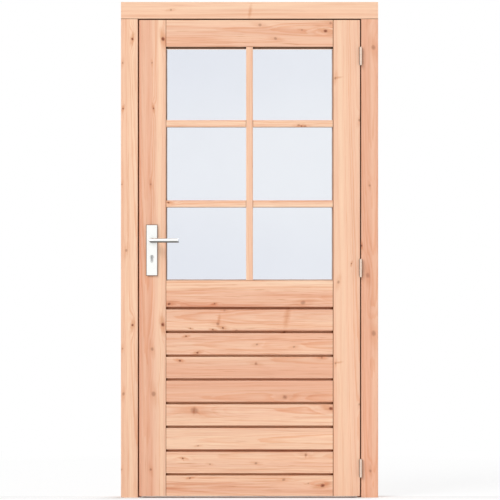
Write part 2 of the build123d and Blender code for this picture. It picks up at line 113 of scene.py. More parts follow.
class Wire:
    """A number inside a material: Python arithmetic on it adds the Math nodes that work it out."""

    def __init__(self, graph, socket):
        self.graph = graph
        self.socket = socket

    __add__ = __radd__ = maths("ADD")
    __sub__, __rsub__ = maths("SUBTRACT"), maths("SUBTRACT", reflected=True)
    __mul__ = __rmul__ = maths("MULTIPLY")
    __truediv__ = maths("DIVIDE")
    fraction, size = maths("FRACT"), maths("ABSOLUTE")
    lower, higher = maths("MINIMUM"), maths("MAXIMUM")

    def rise(self, low, high, start=0.0, end=1.0):
        """Runs smoothly from start at low to end at high."""
        return self.graph.node(
            "ShaderNodeMapRange",
            {"interpolation_type": "SMOOTHSTEP"},
            {"Value": self, "From Min": low, "From Max": high, "To Min": start, "To Max": end},
        )


class Graph:
    """Adds nodes to the tree of one material or world."""

    def __init__(self, owner):
        owner.use_nodes = True
        self.owner = owner
        self.tree = owner.node_tree
        self.tree.nodes.clear()

    def node(self, kind, settings=None, inputs=None, output=0):
        """Adds a node, sets its settings and then its sockets, and returns one of its outputs."""
        made = self.tree.nodes.new(kind)
        for name, value in (settings or {}).items():
            setattr(made, name, value)
        for key, value in (inputs or {}).items():
            if isinstance(value, Wire):
                self.tree.links.new(value.socket, made.inputs[key])
            else:
                made.inputs[key].default_value = value
        return Wire(self, made.outputs[output]) if len(made.outputs) else made

    def vector(self, operation, *terms, output="Vector"):
        """The result of Vector Math."""
        return self.node("ShaderNodeVectorMath", {"operation": operation}, dict(enumerate(terms)), output)

    def length(self, vector):
        return self.vector("LENGTH", vector, output="Value")

    def distance(self, first, second):
        return self.vector("DISTANCE", first, second, output="Value")

    def parts(self, vector):
        """The three numbers of a vector."""
        return [self.node("ShaderNodeSeparateXYZ", None, {0: vector}, axis) for axis in ("X", "Y", "Z")]

    def joined(self, x, y, z):
        """A vector from three numbers."""
        return self.node("ShaderNodeCombineXYZ", None, {"X": x, "Y": y, "Z": z})

    def place(self):
        """The point on the piece in millimetres, as a vector and as its three numbers."""
        point = self.vector("MULTIPLY", self.node("ShaderNodeTexCoord", output="Object"), (1 / MM,) * 3)
        return point, *self.parts(point)

    def facing(self):
        """The three numbers of the direction that the surface faces."""
        return self.parts(self.node("ShaderNodeTexCoord", output="Normal"))

    def open_sky(self, distance, samples=6):
        """How open the surface lies to its surroundings within a distance, from 0 to 1."""
        return self.node("ShaderNodeAmbientOcclusion", {"samples": samples}, {"Distance": distance}, "AO")

    def noise(self, point, sizes, shift=(0.0, 0.0, 0.0), detail=3.0, roughness=0.5, output="Fac"):
        """Soft noise at a point, with grains of three sizes along the axes."""
        factors = [1 / size for size in sizes]
        sockets = {
            "Vector": self.vector("MULTIPLY_ADD", point, factors, shift),
            "Scale": 1.0, "Detail": detail, "Roughness": roughness,
        }
        return self.node("ShaderNodeTexNoise", None, sockets, output)

    def mixed(self, factor, first, second, blend="MIX"):
        """Two colours mixed, or one blended over the other, by a factor."""
        return self.node(
            "ShaderNodeMix", {"data_type": "RGBA", "blend_type": blend}, {0: factor, 6: first, 7: second}, 2
        )

    def shaded(self, colour, shade):
        """A colour times a number."""
        return self.mixed(1.0, colour, self.joined(shade, shade, shade), "MULTIPLY")

    def ramp(self, position, stops):
        """A colour from a row of stops, each a position and a colour."""
        colour = self.node("ShaderNodeValToRGB", None, {0: position})
        ramp = colour.socket.node.color_ramp
        ramp.interpolation = "EASE"
        while len(ramp.elements) < len(stops):
            ramp.elements.new(1.0)
        for element, stop in zip(ramp.elements, stops):
            element.position, element.color = stop
        return colour

    def bump(self, height, distance, strength):
        """A normal from a height, which stands for so many metres."""
        return self.node(
            "ShaderNodeBump", None, {"Strength": strength, "Distance": distance, "Height": height}
        )

    def principled(self, **sockets):
        """A Principled shader. Underscores stand for spaces in socket names."""
        named = {name.replace("_", " "): value for name, value in sockets.items()}
        return self.node("ShaderNodeBsdfPrincipled", None, named)

    def seen(self):
        """1 for rays from the camera, from a mirror-like surface and through glass, and otherwise 0."""
        rays = [f"Is {kind} Ray" for kind in ("Camera", "Glossy", "Transmission")]
        return reduce(Wire.higher, [self.node("ShaderNodeLightPath", output=ray) for ray in rays])

    def finished(self, shader, output="ShaderNodeOutputMaterial"):
        """Ends the tree in a shader and returns the material or world."""
        self.node(output, None, {"Surface": shader})
        return self.owner


def new_graph(name):
    return Graph(bpy.data.materials.new(name))


# The tones that softwood from one yard has, from pale sapwood to red heartwood.
TONES = {
    "cream": srgb(248, 208, 178),
    "straw": srgb(246, 203, 173),
    "honey": srgb(243, 198, 169),
    "tan": srgb(239, 190, 161),
    "rose": srgb(235, 181, 152),
    "russet": srgb(232, 173, 144),
}

# A plank is one piece of timber, or like pieces cut from one board. grain is the axis of its fibres. pith is
# where the middle of the tree would lie: how far from the plank's middle across its face, how far behind the
# frame's middle, and the slope at which it leaves the plank. figure is how strongly streaks show. bands are
# the tones across the face, from its low side. knots and faint are dark and pale round knots, as x, z and
# radius. spikes are knots cut lengthwise, as x, z, radius and how far they slant along the grain. The order
# of the planks sets the noise of each.
Plank = namedtuple("Plank", "grain pith figure bands knots faint spikes", defaults=((), (), ()))

PLANKS = {
    "lock_jamb": Plank(
        "z", (38, 40, 0.012), 0.8, "honey straw cream cream straw",
        knots=[(-1046, 1952, 6), (-1086, 1656, 4), (-1046, 734, 6)],
        faint=[(-1088, 1850, 5), (-1091, 1333, 4), (-1072, 1052, 7), (-1089, 634, 5), (-1092, 119, 4),
               (-1084, 441, 7)],
        spikes=[(-1046, 1952, 2.2, -0.6), (-1045, 733, 2.2, -0.6)],
    ),
    "lock_stile": Plank(
        "z", (-24, 52, 0.010), 0.65, "russet tan rose honey cream honey",
        knots=[(-916, 1952, 9), (-956, 1656, 4), (-917, 736, 9)],
        faint=[(-963, 1850, 4), (-968, 1333, 5), (-962, 632, 8), (-956, 441, 11), (-968, 119, 6)],
        spikes=[(-917, 1952, 2.4, -0.6), (-918, 736, 2.4, -0.6), (-966, 119, 1.6, 0.1)],
    ),
    "hinge_stile": Plank(
        "z", (62, 70, 0.008), 0.4, "honey cream straw honey honey",
        knots=[(-113, 996, 3)],
        faint=[(-169, 917, 7), (-80, 396, 5), (-80, 1606, 6), (-182, 1785, 6), (-181, 571, 4)],
        spikes=[(-170, 1788, 5, 0.14), (-168, 575, 5, 0.14)],
    ),
    "hinge_jamb": Plank(
        "z", (10, 46, 0.014), 0.8, "rose rose rose tan rose",
        knots=[(-70, 1072, 4)],
        faint=[(-20, 1916, 11), (-44, 946, 11), (-19, 699, 12), (-36, 1328, 5), (-33, 113, 6)],
    ),
    "frame_head": Plank(
        "x", (90, 60, 0.006), 0.6, "straw straw cream cream",
        faint=[(-882, 2076, 5)], spikes=[(-545, 2070, 8, 0.14)],
    ),
    "top_rail": Plank(
        "x", (18, 34, 0.018), 1.2, "tan honey tan honey straw",
        knots=[(-224, 1986, 8)], faint=[(-437, 1954, 7), (-503, 2012, 8), (-324, 1990, 4), (-202, 2020, 7)],
    ),
    "middle_rail": Plank(
        "x", (-20, 40, 0.015), 1.5, "rose tan tan cream cream",
        knots=[(-697, 825, 3), (-890, 824, 7)], faint=[(-320, 829, 11)],
    ),
    "panel_board_1": Plank(
        "x", (8, 30, 0.020), 1.3, "tan straw honey tan russet",
        knots=[(-704, 715, 4), (-661, 722, 5), (-799, 720, 3)],
        faint=[(-683, 739, 7), (-654, 796, 4), (-603, 712, 4)],
        spikes=[(-678, 755, 7, 0.14), (-388, 770, 13, 0.14)],
    ),
    "panel_board_2": Plank(
        "x", (-14, 36, 0.016), 1.35, "honey honey tan honey",
        knots=[(-818, 686, 4), (-769, 617, 5), (-399, 704, 4)],
        faint=[(-516, 651, 5), (-358, 641, 5)],
        spikes=[(-815, 686, 2.2, -1.1), (-767, 619, 2.2, 1.1)],
    ),
    "panel_board_3": Plank(
        "x", (30, 44, 0.012), 0.95, "tan rose tan cream",
        knots=[(-844, 583, 5)], faint=[(-240, 595, 5), (-520, 569, 7)], spikes=[(-520, 571, 2.4, 0.1)],
    ),
    "panel_board_4": Plank(
        "x", (-36, 48, 0.010), 0.7, "tan tan rose honey",
        faint=[(-397, 427, 10)], spikes=[(-397, 428, 2.6, -0.8)],
    ),
    "panel_board_5": Plank(
        "x", (6, 28, 0.017), 1.2, "cream honey cream",
        knots=[(-201, 379, 9)], faint=[(-782, 370, 17)], spikes=[(-764, 358, 2.6, -1.2), (-784, 370, 5, 0.1)],
    ),
    "panel_board_6": Plank("x", (-10, 40, 0.013), 0.8, "cream cream honey", faint=[(-767, 220, 4)]),
    "panel_board_7": Plank(
        "x", (22, 34, 0.015), 1.25, "cream honey cream russet",
        knots=[(-832, 167, 4)],
        faint=[(-716, 142, 4), (-308, 181, 7), (-520, 145, 6)],
        spikes=[(-829, 160, 1.8, -0.5), (-308, 179, 3.4, 0.1)],
    ),
    "bottom_rail": Plank(
        "x", (-16, 26, 0.019), 1.45, "cream tan honey cream straw",
        knots=[(-236, 51, 9), (-801, 83, 4)], faint=[(-402, 76, 7), (-297, 60, 3)],
    ),
    "vertical_glazing_bar": Plank("z", (40, 60, 0.006), 0.5, "cream honey"),
    "upper_glazing_bars": Plank(
        "x", (30, 60, 0.008), 1.1, "cream cream cream cream tan",
        knots=[(-326, 1581, 4)], faint=[(-339, 1585, 6), (-311, 1580, 6)],
    ),
    "lower_glazing_bars": Plank(
        "x", (-30, 60, 0.008), 1.1, "cream cream cream honey tan", knots=[(-893, 1256, 5)]
    ),
    "glazing_beads": Plank("x", (60, 70, 0.006), 0.6, "honey cream"),
    "hinge_side_stop": Plank("z", (30, 60, 0.008), 0.7, "tan honey", faint=[(-80, 1420, 4)]),
    "lock_side_stop": Plank("z", (-30, 60, 0.008), 0.7, "tan honey", faint=[(-1015, 860, 4)]),
    "head_stop": Plank("x", (30, 60, 0.008), 0.7, "honey cream"),
}

FRAME_TIMBER = ("lock_jamb", "hinge_jamb", "frame_head", "hinge_side_stop", "lock_side_stop", "head_stop")
LEAF_TIMBER = (
    "lock_stile", "hinge_stile", "top_rail", "middle_rail", "bottom_rail",
    "vertical_glazing_bar", "upper_glazing_bars", "lower_glazing_bars", "glazing_beads",
)
BOARDS = tuple(f"panel_board_{number}" for number in range(1, 8))

# Colours that the tone is multiplied by.
LATEWOOD = (0.93, 0.76, 0.66)
REDDISH = (0.90, 0.75, 0.68)
PALE = (1.03, 1.10, 1.12)
RESIN = (0.74, 0.54, 0.42)
HALO = (0.82, 0.62, 0.50)
# This colour darkens the joint lines and also paints shade along gaps and fittings.
SEAM_AND_PAINTED_SHADE = (0.38, 0.22, 0.13)
# This colour is painted shade in corners and gaps.
PAINTED_CREVICE_SHADE = (0.54, 0.31, 0.13)
END_GRAIN = (0.84, 0.74, 0.66)

# The colour of the painted crevice shade for pieces whose gaps let in more or less light than usual.
PAINTED_CREVICE_SHADES = {
    "lock_jamb": (0.66, 0.40, 0.20),
    **dict.fromkeys(("frame_head", "lock_stile", "hinge_stile"), (0.44, 0.18, 0.05)),
    **dict.fromkeys(("hinge_jamb", "hinge_side_stop", "lock_side_stop", "head_stop"), (0.28, 0.06, 0.01)),
}

# How strongly shade is painted on the lower edge of a piece, over the wider of the shadow gaps.
LOWER_EDGE_SHADE = {"middle_rail": 0.8, "panel_board_1": 0.5, "panel_board_4": 0.4, "panel_board_5": 0.4}

# How the fibres wander off their line: the noise's length, width, shift and detail, and how far they go.
WANDERING = ((1300, 150, 1.0, 1.0, 30), (210, 34, 2.0, 2.0, 7), (70, 20, 2.5, 2.0, 2.4))

# Streaks of another colour: the noise's length, width and shift, the values of it between which a streak
# fades in, its strength and its colour.
STREAKS = (
    (430, 13, 5.0, (0.52, 0.70), 0.50, REDDISH),
    (240, 5.0, 9.0, (0.53, 0.68), 0.52, REDDISH),
    (520, 14, 10.0, (0.52, 0.70), 0.75, PALE),
    (120, 3.6, 11.0, (0.62, 0.72), 0.44, RESIN),
)

# The three spaces in which a round knot's heart, its stain and the bow of the rings round it are measured:
# how far each shrinks the grain's direction, how far it slants, and how far the knot's outline wobbles.
KNOT_SPACES = ((0.80, 0.08, 4.4), (0.30, 0.16, 7.0), (0.26, 0.0, 0.0))

# The kinds of round knot: their list in a plank, how strongly they show and how far the rings bow, in radii.
KNOT_KINDS = (("faint", 0.45, 0.4), ("knots", 0.95, 1.1))
KNOT_TONES = [
    (0.0, srgb(116, 60, 40)), (0.35, srgb(146, 88, 64)), (0.7, srgb(168, 104, 80)),
    (0.95, srgb(144, 82, 60)), (1.0, srgb(166, 104, 82)),
]


class TimberSettings(bpy.types.PropertyGroup):
    """How the planed softwood looks."""

    ring_spacing: FloatProperty(
        name="Ring spacing", description="Width of one year's growth", default=3.4 * MM, min=1 * MM, **LENGTH
    )
    ring_contrast: FloatProperty(
        name="Ring contrast", description="How far the late wood stands out from the early wood",
        default=0.70, **SHARE,
    )
    fibre_contrast: FloatProperty(
        name="Fibre contrast", description="How far single fibres stand out", default=0.10, **SHARE
    )
    mottling: FloatProperty(
        name="Mottling", description="How far the tone drifts along a plank", default=0.10, **SHARE
    )
    roughness: FloatProperty(
        name="Roughness", description="Roughness of the planed face", default=0.58, **SHARE
    )
    # Reach of the shade painted into corners and gaps.
    crevice_reach: FloatProperty(
        name="Crevice reach", description="How near another face has to be for a corner to look darker",
        default=22 * MM, min=0.0, **LENGTH,
    )
    relief: FloatProperty(
        name="Relief", description="Height of the late wood over the early wood", default=0.12 * MM, min=0.0,
        **LENGTH,
    )


def seam_planes(node):
    """Where a plank meets its neighbours on the face, as an axis and a place in millimetres."""
    if node in ("lock_jamb", "hinge_jamb", "frame_head"):
        return [("z", millimetres("frame_head")[0].z)]
    if node == "lock_stile":
        return [("x", PANEL_SIDES[0])]
    if node == "hinge_stile":
        return [("x", PANEL_SIDES[1])]
    if node == "vertical_glazing_bar":
        return [("z", millimetres("middle_rail")[1].z), ("z", millimetres("top_rail")[0].z + GROOVE_HEIGHT)]
    seams = [("x", side) for side in PANEL_SIDES]
    if node.endswith("glazing_bars"):
        seams += [("x", corner.x) for corner in millimetres("vertical_glazing_bar")]
    return seams


class Timber:
    """The material of one plank. Each step of its making tints the tone a little more."""

    def __init__(self, node, look):
        number = list(PLANKS).index(node)
        self.node, self.look, self.plank = node, look, PLANKS[node]
        self.low, self.high = millimetres(node)
        self.seed, self.lean = 7.3 * number, 1 if number % 2 else -1
        self.graph = new_graph(f"timber_{node}")
        _, self.x, self.depth, self.z = self.graph.place()
        self.facing = self.graph.facing()
        self.upright = self.plank.grain == "z"
        self.along, self.across = self.turned(self.x, self.z)
        self.board = self.graph.joined(self.along, self.across, self.depth)
        self.fibre = self.streak(38, 0.75, 7.0, 3.0)
        self.drifting = self.across
        for length, width, shift, detail, reach in WANDERING:
            self.drifting = self.drifting + self.wave(length, width, shift, detail) * reach
        self.tone = None

    def turned(self, x, z):
        """What lies along the grain and what lies across it."""
        return (z, x) if self.upright else (x, z)

    def streak(self, length, width, shift, detail=2.0):
        """Noise that is drawn out along the grain."""
        shifts = (self.seed + shift, self.seed * 0.6 - shift, shift)
        return self.graph.noise(self.board, (length, width, width), shifts, detail)

    def wave(self, length, width, shift, detail=2.0):
        """The same noise, up and down from 0."""
        return self.streak(length, width, shift, detail) - 0.5

    def tint(self, factor, colour):
        """Takes the tone towards its product with a colour."""
        product = self.graph.mixed(1.0, self.tone, (*colour, 1.0), "MULTIPLY")
        self.tone = self.graph.mixed(factor, self.tone, product)

    def make(self):
        """The finished material."""
        knots = self.measure_knots()
        late = self.grow(sum(bow for _, _, bow, _ in knots))
        smooth = self.add_knots(knots)
        self.add_spikes()
        self.draw_seams_and_painted_shade()
        self.paint_crevice_shade()
        end = self.turned(self.facing[0], self.facing[2])[0].size().rise(0.62, 0.86)
        self.tint(end, END_GRAIN)

        relief = late * 0.6 + self.fibre * 0.55 + smooth * 0.5
        roughness = self.look.roughness + (self.fibre - 0.5) * 0.16 + end * 0.16 - late * 0.07 - smooth * 0.14
        return self.graph.finished(self.graph.principled(
            Base_Color=self.tone, Roughness=roughness, Specular_IOR_Level=0.14,
            Normal=self.graph.bump(relief, self.look.relief, 0.7),
        ))

    def measure_knots(self):
        """For each kind of round knot that the plank has: its heart and its stain, both in knot radii, how far
        the rings bow round it, and its strength."""
        graph = self.graph
        wobble = graph.noise(self.board, (11, 7, 20), (self.seed, 0.0, 3.0), 3.0, 0.55, "Color")
        spaces = []
        for stretch, slant, unrest in KNOT_SPACES:
            slant, centred = slant * self.lean, unrest / 2
            flat = graph.joined(self.along * stretch - centred, self.across + self.along * slant - centred, 0.0)
            point = graph.vector("MULTIPLY_ADD", wobble, (unrest, unrest, 0.0), flat)
            spaces.append((point, stretch, slant))
        kinds = []
        for kind, strength, bowing in KNOT_KINDS:
            hearts, stains, bows = [], [], []
            for x, z, radius in getattr(self.plank, kind):
                along, across = self.turned(x, z)
                heart, stain, bow = [
                    graph.distance(point, (along * stretch, across + along * slant, 0.0))
                    for point, stretch, slant in spaces
                ]
                hearts.append(heart / radius)
                stains.append(stain / radius)
                bows.append(bow.rise(0.3 * radius, 3.0 * radius + 4, bowing * radius, 0.0))
            if hearts:
                kinds.append((reduce(Wire.lower, hearts), reduce(Wire.lower, stains), sum(bows), strength))
        return kinds

    def grow(self, bow):
        """Sets the tone from the bands, growth rings, streaks and fibres. The answer is where late wood is."""
        graph, plank, look = self.graph, self.plank, self.look
        low_along, low_across = self.turned(self.low.x, self.low.z)
        high_along, high_across = self.turned(self.high.x, self.high.z)
        aside, behind, slope = plank.pith
        sideways = self.drifting - ((low_across + high_across) / 2 + aside)
        inwards = self.depth - behind + (self.along - (low_along + high_along) / 2) * slope
        radius = graph.length(graph.joined(sideways, inwards, 0.0)) + bow
        years = (radius + self.wave(90, 9, 4.0) * 2.2) / (look.ring_spacing / MM)
        good_years = graph.node(
            "ShaderNodeTexNoise", {"noise_dimensions": "1D"},
            {"W": years * 0.31 + self.seed, "Scale": 1.0, "Detail": 2.0},
        )
        season = years.fraction()
        late = season.rise(0.30, 0.86) * (1 - season.rise(0.93, 1.0)) * good_years.rise(0.36, 0.66, 0.12, 1.0)

        bands = plank.bands.split()
        share = (self.drifting - low_across) / (high_across - low_across)
        self.tone = graph.ramp(share, [(i / (len(bands) - 1), TONES[band]) for i, band in enumerate(bands)])
        self.tint(late * look.ring_contrast, LATEWOOD)
        self.tint(good_years.rise(0.52, 0.74, 0.0, 0.38 * plank.figure), REDDISH)
        for length, width, shift, (first, last), strength, colour in STREAKS:
            self.tint(self.streak(length, width, shift).rise(first, last, 0.0, strength * plank.figure), colour)
        drift = 1 + self.wave(420, 46, 6.0) * look.mottling
        self.tone = graph.shaded(self.tone, drift * (1 + (self.fibre - 0.5) * look.fibre_contrast))
        resin_ducts = self.streak(16, 0.55, 8.0, 1.0)
        self.tint(resin_ducts.rise(0.70, 0.80, 0.0, 0.35), RESIN)
        return late

    def add_knots(self, kinds):
        """Adds the round knots. The answer is where their smooth hearts are."""
        smooth = 0.0
        for heart, stain, _, strength in kinds:
            self.tint(stain.rise(0.5, 2.2, 0.85 * strength, 0.0), HALO)
            core = heart.rise(0.45, 1.05, strength, 0.0)
            self.tone = self.graph.mixed(core, self.tone, self.graph.ramp(heart, KNOT_TONES))
            smooth = core.higher(smooth)
        return smooth

    def add_spikes(self):
        """Adds the knots that were cut lengthwise."""
        for x, z, radius, slope in self.plank.spikes:
            along, across = self.turned(x, z)
            crosswise = self.across - across
            lengthwise = self.along - along - crosswise * slope + self.wave(14, 9, 12.0) * radius
            reach = self.graph.length(self.graph.joined(lengthwise, crosswise * 0.26, 0.0))
            self.tint((reach / radius).rise(0.0, 1.5, 0.75, 0.0), HALO)

    def line(self, away, near, far, strength):
        """Draws a dark line that fades as the millimetres away from it go from near to far: a joint line, and
        elsewhere painted shade.
        """
        self.tint(away.rise(near, far, strength, 0.0), SEAM_AND_PAINTED_SHADE)

    def draw_seams_and_painted_shade(self):
        """Adds the dark joint lines, and paints shade along gaps and fittings: under a lower edge over a wide
        shadow gap, at the board ends in the grooves, round the backplate and along the leaf's lock edge.
        """
        seams = [((self.x if axis == "x" else self.z) - value).size() for axis, value in seam_planes(self.node)]
        near, far = (1.3, 3.6) if self.node == "hinge_stile" else (0.5, 1.8)
        self.line(reduce(Wire.lower, seams), near, far, 0.88)
        if self.node in LOWER_EDGE_SHADE:
            # Painted shade along the lower edge, over the shadow gap under it.
            self.line(self.z - self.low.z, 0.6, 3.4, LOWER_EDGE_SHADE[self.node])
        if self.node in BOARDS or self.node == "bottom_rail":
            # Painted shade at the ends of the shadow gap, deep in the groove by the stiles.
            left, right = [(self.x - side).size() for side in PANEL_SIDES]
            sunk = self.depth.rise(self.low.y + 3, self.low.y + 9)
            self.tint(left.lower(right).rise(1.0, 8.0, 0.75, 0.0) * sunk, SEAM_AND_PAINTED_SHADE)
        if self.node == "lock_stile":
            # Painted shadow round the backplate, as a thin dark line on the stile.
            plate_low, plate_high = millimetres("outside_backplate")
            middle, half = (plate_low + plate_high) / 2, (plate_high - plate_low) / 2
            aside, above = (self.x - middle.x).size() - half.x, (self.z - middle.z).size() - half.z
            self.line(aside.higher(above), 0.4, 2.3, 0.72)
            # Painted shade along the leaf's lock edge, beside the gap to the jamb.
            self.line(self.x - self.low.x, 0.3, 2.4, 0.5)

    def paint_crevice_shade(self):
        """Paints shade into corners and gaps, where ambient occlusion finds them closed in: less where the
        glazing bars face up or down and where the middle rail faces up, none on the hinge jamb's front face,
        and fading out close over the floor.
        """
        in_shade = self.graph.open_sky(self.look.crevice_reach).rise(0.10, 0.70, 0.95, 0.0)
        in_shade = in_shade * self.z.rise(0.0, 40.0)
        upwards = self.facing[2]
        if self.node.endswith("_glazing_bars"):
            in_shade = in_shade * upwards.size().rise(0.15, 0.6, 1.0, 0.25)
        elif self.node == "middle_rail":
            in_shade = in_shade * upwards.rise(0.15, 0.6, 1.0, 0.1)
        elif self.node == "hinge_jamb":
            in_shade = in_shade * self.depth.rise(self.low.y + 0.2, self.low.y + 2.0)
        self.tint(in_shade, PAINTED_CREVICE_SHADES.get(self.node, PAINTED_CREVICE_SHADE))


def finish_node(node, material):
    """Gives a CAD node a new material, leaving its shape alone."""
    for slot in NODES[node].material_slots:
        slot.material = material
    if not NODES[node].material_slots:
        raise RuntimeError(f"{node} has no material slot")


def finish_timber(nodes, context):
    """Gives each of these CAD nodes its own timber."""
    for node in nodes:
        finish_node(node, Timber(node, context.scene.door_timber).make())


class FinishSettings(bpy.types.PropertyGroup):
    """How the glass, the metals and the sealant look."""

    glass_tint: FloatVectorProperty(
        name="Glass tint", description="Colour of light that has passed a pane at the foot or the head",
        default=(0.767, 0.796, 0.864, 1.0), **COLOUR,
    )
    # Glass tint where the most light is painted on the panes, half way up.
    painted_bright_glass_tint: FloatVectorProperty(
        name="Pale glass tint", description="Glass tint half way up, where the panes look brightest",
        default=(0.827, 0.853, 0.900, 1.0), **COLOUR,
    )
    satin_colour: FloatVectorProperty(
        name="Satin metal", description="Colour of the backplates and levers",
        default=(0.97, 0.98, 0.95, 1.0), **COLOUR,
    )
    satin_roughness: FloatProperty(
        name="Satin roughness", description="Roughness of the backplates and levers", default=0.30, **SHARE
    )
    nickel_colour: FloatVectorProperty(
        name="Hinge metal", description="Colour of the hinges", default=(0.82, 0.65, 0.54, 1.0), **COLOUR
    )
    steel_colour: FloatVectorProperty(
        name="Steel", description="Colour of the lock, the strike plate and the screws",
        default=(0.62, 0.62, 0.60, 1.0), **COLOUR,
    )
    cylinder_colour: FloatVectorProperty(
        name="Cylinder", description="Colour of the lock cylinder's ends",
        default=(0.76, 0.76, 0.74, 1.0), **COLOUR,
    )
    # A dark sealant colour that stands in for the shadow in the top rail's groove.
    groove_shadow_sealant_colour: FloatVectorProperty(
        name="Dark sealant", description="Colour of the sealant in the top rail's shadow groove",
        default=(0.14, 0.065, 0.030, 1.0), **COLOUR,
    )
    spacer_colour: FloatVectorProperty(
        name="Spacer strip", description="Colour of the metal strip at the head of the upper panes",
        default=(0.97, 0.89, 0.81, 1.0), **COLOUR,
    )
    sealant_colour: FloatVectorProperty(
        name="Sealant", description="Colour of the sealant along the panes",
        default=(0.40, 0.28, 0.22, 1.0), **COLOUR,
    )


def brushed_metal(name, colour, roughness, along, shading=None, nooks=0.22):
    """A satin metal with fine lines that run along one axis and faint smudges, with shade painted into its
    nooks down to that share of its tone; shading, where given, paints more reflection and shade onto it.
    """
    graph = new_graph(name)
    point = graph.place()[0]
    line_sizes = [40 if axis == along else 0.16 for axis in "xyz"]
    brush = graph.noise(point, line_sizes)
    smudge = graph.noise(point, [26] * 3, (4.0, 9.0, 2.0))
    shade = 1 + (brush - 0.5) * 0.10 + (smudge - 0.5) * 0.05
    # Painted shade in the nooks, where ambient occlusion finds the metal closed in.
    shade = shade * graph.open_sky(5 * MM).rise(0.10, 0.72, nooks, 1.0)
    # The painted reflection and shade of the piece's own kind.
    if shading:
        shade = shade * shading(graph)
    return graph.finished(graph.principled(
        Base_Color=graph.shaded(colour, shade), Metallic=1.0,
        Roughness=roughness + (brush - 0.5) * 0.12 + (smudge - 0.5) * 0.10,
        Normal=graph.bump(brush, 0.02 * MM, 0.5),
    ))


def painted_rod_reflection(graph):
    """Painted reflection and shade: darker underneath, as if the polished rod mirrored the ground, and a little
    greyer along its top.
    """
    upwards = graph.facing()[2]
    return upwards.rise(-0.36, -0.06, 0.22, 1.0) * upwards.rise(0.66, 0.93, 1.0, 0.45)


def painted_rim_reflection(graph):
    """Painted reflection: darker on the bevelled rim, as if it mirrored the timber that it lies on."""
    return graph.facing()[1].size().rise(0.74, 0.96, 0.30, 1.0)


def painted_cylinder_reflection(graph):
    """Painted reflection: a dark band down the middle of the face round the keyway, which fades out towards the
    foot of the tail.
    """
    low, high = millimetres("lock_cylinder")
    _, x, _, z = graph.place()
    aside = (x - (low.x + high.x) / 2).size().rise(2.0, 7.0)
    below = z.rise(low.z + 2, low.z + 12, 1.0, 0.0)
    return 0.60 + 0.40 * aside.higher(below)


def painted_knuckle_shade(graph):
    """Painted shade: darker at the sides of the knuckles, which stand proud of the door's face."""
    face = millimetres("hinge_stile")[0].y
    proud = graph.place()[2].rise(face - 2.0, face - 0.5, 1.0, 0.0)
    return 1 - graph.facing()[0].size().rise(0.35, 0.92, 0.0, 0.72) * proud


def pane_glass(name, tint, painted_bright_tint):
    """Clear float glass, with the faint unevenness and film that a pane in use has. Light is painted across the
    six
    panes together: they are palest half way up, and paler towards the hinges."""
    graph = new_graph(name)
    point, x, _, z = graph.place()
    low, high = millimetres("lower_lock_side_pane")[0], millimetres("upper_hinge_side_pane")[1]
    # Painted light: palest half way up the six panes and paler towards the hinges.
    painted_light = (z - (low.z + high.z) / 2).size().rise(60, 460, 0.75, 0.0) + x.rise(low.x, high.x, 0.0, 0.4)
    film = graph.noise(point, [140] * 3, (3.0, 1.0, 7.0))
    tone = graph.shaded(graph.mixed(painted_light, tint, painted_bright_tint), 1 + (film - 0.5) * 0.03)
    return graph.finished(graph.principled(
        Base_Color=tone, Roughness=film.rise(0.4, 0.8, 0.0, 0.03), IOR=1.5, Transmission_Weight=1.0,
    ))


def sealant_material(name, colour, ends=()):
    """Tooled glazing sealant: matt, a little uneven in tone, with shallow drag marks. Shade is painted in near
    its ends, where a strip has any, given in millimetres along the door's width."""
    graph = new_graph(name)
    point, x, _, _ = graph.place()
    patch = graph.noise(point, [30] * 3)
    grit = graph.noise(point, [1.1] * 3, (5.0, 2.0, 8.0), 2.0)
    shade = 1 + (patch - 0.5) * 0.22 + (grit - 0.5) * 0.10
    for end in ends:
        # Painted shade near each end of the strip.
        shade = shade * (x - end).size().rise(2.0, 13.0, 0.25, 1.0)
    return graph.finished(graph.principled(
        Base_Color=graph.shaded(colour, shade), Roughness=0.62 + (grit - 0.5) * 0.2,
        Normal=graph.bump(grit, 0.15 * MM, 0.6),
    ))


def metal(name, *details, **more):
    """The brushed metal of that name, made once and then shared."""
    return bpy.data.materials.get(name) or brushed_metal(name, *details, **more)


class TrimSettings(bpy.types.PropertyGroup):
    """Sizes of the small pieces that the looks add."""

    sealant_width: FloatProperty(
        name="Sealant width", description="Width of the sealant on the glass", default=4.8 * MM, **LENGTH
    )
    sealant_rise: FloatProperty(
        name="Sealant rise", description="Height of the sealant on the timber", default=3.6 * MM, **LENGTH
    )
    hinge_screw: FloatProperty(
        name="Hinge screw", description="Diameter of the screw heads in the hinges", default=7.4 * MM, **LENGTH
    )
    lock_screw: FloatProperty(
        name="Lock screw", description="Diameter of the screw heads in the forend and the strike plate",
        default=7.0 * MM, **LENGTH,
    )
    lever_ease: FloatProperty(
        name="Lever easing", description="Rounding at the free end of a lever", default=1.6 * MM, **LENGTH
    )
    collar_width: FloatProperty(
        name="Collar width", description="Width of the bearing collar round a lever's neck",
        default=2.6 * MM, **LENGTH,
    )


# The angle over which the edge between two faces stays crisp.
CRISP_EDGE = math.radians(32)
ROD_SIDES = 56
SCREW_SIDES = 24
QUARTER_TURN = [math.pi / 2 * step / 5 for step in range(6)]

# The rim of a screw head and its cross recess, in shares of the head's radius. The rim is as width and rise.
SCREW_PROFILE = ((1.0, -0.02), (1.0, 0.10), (0.93, 0.20), (0.80, 0.27))
CROSS_REACH, CROSS_HALF_WIDTH, CROSS_FLOOR, CROSS_TAPER = 0.56, 0.14, 0.03, 0.8

# Where screws are, in millimetres: in a hinge plate, in from its edge and up from its middle, and in the
# forend and the strike plate, in from either end.
HINGE_SCREWS = ((8, 27), (20, 0), (8, -27))
END_INSET = 10

